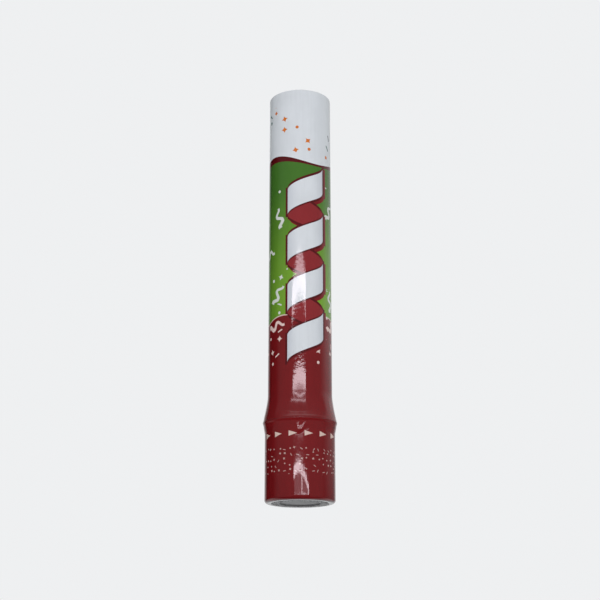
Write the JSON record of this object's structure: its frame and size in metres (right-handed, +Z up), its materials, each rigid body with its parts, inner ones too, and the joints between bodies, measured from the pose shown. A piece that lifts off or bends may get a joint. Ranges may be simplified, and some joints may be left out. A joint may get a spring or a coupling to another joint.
{
  "type": "confetti popper",
  "caption": "Twist-action confetti popper: film-sleeved card tube on a turning base that frees a compressed-air bottle to drive wad, paper slips and lid out of the top.",
  "frame": {"origin": "centre of the foot of the twist base, on the surface it stands on", "axes": "+Z up along the tube towards its mouth, -Y towards the printed front, +X to the front's right"},
  "size_m": [0.051, 0.051, 0.3],
  "materials": {
    "tube_board": "matte",
    "tube_print": "gloss",
    "base_print": "gloss",
    "base_plastic": "satin",
    "cam_plastic": "satin",
    "screw_steel": "satin",
    "housing_plastic": "satin",
    "spider_plastic": "satin",
    "cylinder_aluminium": "satin",
    "gasket_rubber": "matte",
    "bung_plastic": "satin",
    "ring_rubber": "matte",
    "jaw_plastic": "satin",
    "pin_steel": "polished",
    "wad_foam": "matte",
    "wad_board": "matte",
    "red_paper": "matte",
    "green_paper": "matte",
    "white_paper": "matte",
    "gold_paper": "matte",
    "lid_board": "matte",
    "lid_foil": "gloss"
  },
  "bodies": {
    "barrel": {"cardboard_tube": "tube_board", "tube_film": "tube_print", "release_housing": "housing_plastic", "air_cylinder": "cylinder_aluminium", "neck_gasket": "gasket_rubber", "cylinder_spider": "spider_plastic"},
    "twist_base": {"base_cup": "base_plastic", "base_film": "base_print", "cam_plate": "cam_plastic", "cam_plate_screws": "screw_steel"},
    "jaw_1": {"release_jaw_1": "jaw_plastic", "jaw_pin_1": "pin_steel"},
    "jaw_2": {"release_jaw_2": "jaw_plastic", "jaw_pin_2": "pin_steel"},
    "jaw_3": {"release_jaw_3": "jaw_plastic", "jaw_pin_3": "pin_steel"},
    "bung": {"cylinder_bung": "bung_plastic", "bung_o_ring": "ring_rubber"},
    "wad": {"wad_foam": "wad_foam", "wad_card": "wad_board"},
    "confetti": {"confetti_red": "red_paper", "confetti_green": "green_paper", "confetti_white": "white_paper", "confetti_gold": "gold_paper"},
    "lid": {"lid_card": "lid_board", "lid_foil": "lid_foil"}
  },
  "joints": [
    {"name": "base_twist", "type": "hinge", "parent": "barrel", "child": "twist_base", "pos_m": [0, 0, 0.025], "axis": [0, 0, 1], "range_deg": [0, 90]},
    {"name": "jaw_1_draw", "type": "slide", "parent": "barrel", "child": "jaw_1", "axis": [1, 0, 0], "range_m": [0, 0.0045]},
    {"name": "jaw_2_draw", "type": "slide", "parent": "barrel", "child": "jaw_2", "axis": [-0.5, 0.866, 0], "range_m": [0, 0.0045]},
    {"name": "jaw_3_draw", "type": "slide", "parent": "barrel", "child": "jaw_3", "axis": [-0.5, -0.866, 0], "range_m": [0, 0.0045]},
    {"name": "bung_drop", "type": "slide", "parent": "barrel", "child": "bung", "axis": [0, 0, -1], "range_m": [0, 0.0045]},
    {"name": "wad_slide", "type": "slide", "parent": "barrel", "child": "wad", "axis": [0, 0, 1], "range_m": [0, 0.152]},
    {"name": "confetti_slide", "type": "slide", "parent": "wad", "child": "confetti", "axis": [0, 0, 1], "range_m": [0, 0.04]},
    {"name": "lid_slide", "type": "slide", "parent": "confetti", "child": "lid", "axis": [0, 0, 1], "range_m": [0, 0.04]}
  ],
  "couplings": [
    {"joint": "jaw_1_draw", "follows": "base_twist", "m_per_rad": 0.0028647},
    {"joint": "jaw_2_draw", "follows": "base_twist", "m_per_rad": 0.0028647},
    {"joint": "jaw_3_draw", "follows": "base_twist", "m_per_rad": 0.0028647},
    {"joint": "bung_drop", "follows": "base_twist", "m_per_rad": 0.0028647}
  ]
}
